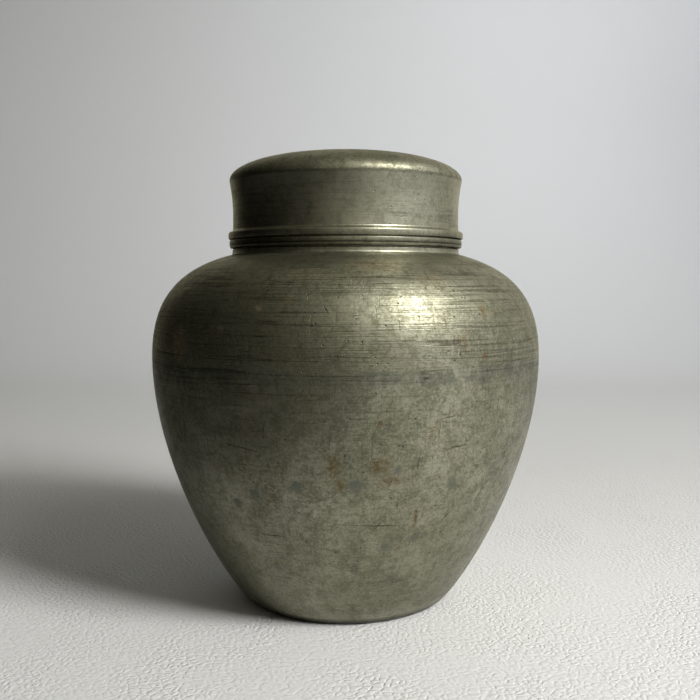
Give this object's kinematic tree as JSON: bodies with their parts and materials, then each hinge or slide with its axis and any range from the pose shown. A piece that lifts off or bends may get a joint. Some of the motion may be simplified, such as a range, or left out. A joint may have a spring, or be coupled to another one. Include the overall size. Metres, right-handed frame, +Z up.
{
  "type": "lidded tea caddy jar",
  "caption": "Shouldered round metal jar with a turned-in foot, a ringed neck, a slip-on domed lid and an inner lid that plugs the neck.",
  "frame": {"origin": "centre of the foot, on the surface that the jar stands on", "axes": "+Z up along the turning axis, the way that both lids lift off; the jar is round, so +X and +Y are free"},
  "size_m": [0.116, 0.116, 0.1332],
  "materials": {
    "aged_pewter": "aged satin pewter, fine turning lines, pitted and stained",
    "worn_pewter": "pewter worn bright by handling",
    "sheltered_pewter": "clean satin pewter, sheltered from the air"
  },
  "bodies": {
    "jar": {"lower_body": "aged_pewter", "base_plate": "sheltered_pewter", "upper_body": "aged_pewter", "neck_tube": "sheltered_pewter", "collar_ring": "worn_pewter"},
    "inner_lid": {"inner_lid_plate": "sheltered_pewter", "inner_lid_plug": "sheltered_pewter", "inner_lid_knob": "worn_pewter"},
    "lid": {"lid_wall": "aged_pewter", "lid_rim": "worn_pewter", "lid_top": "aged_pewter"}
  },
  "joints": [
    {"name": "inner_lid_lift", "type": "slide", "parent": "jar", "child": "inner_lid", "axis": [0, 0, 1], "range_m": [0, 0.04]},
    {"name": "lid_lift", "type": "slide", "parent": "inner_lid", "child": "lid", "axis": [0, 0, 1], "range_m": [0, 0.055]}
  ]
}
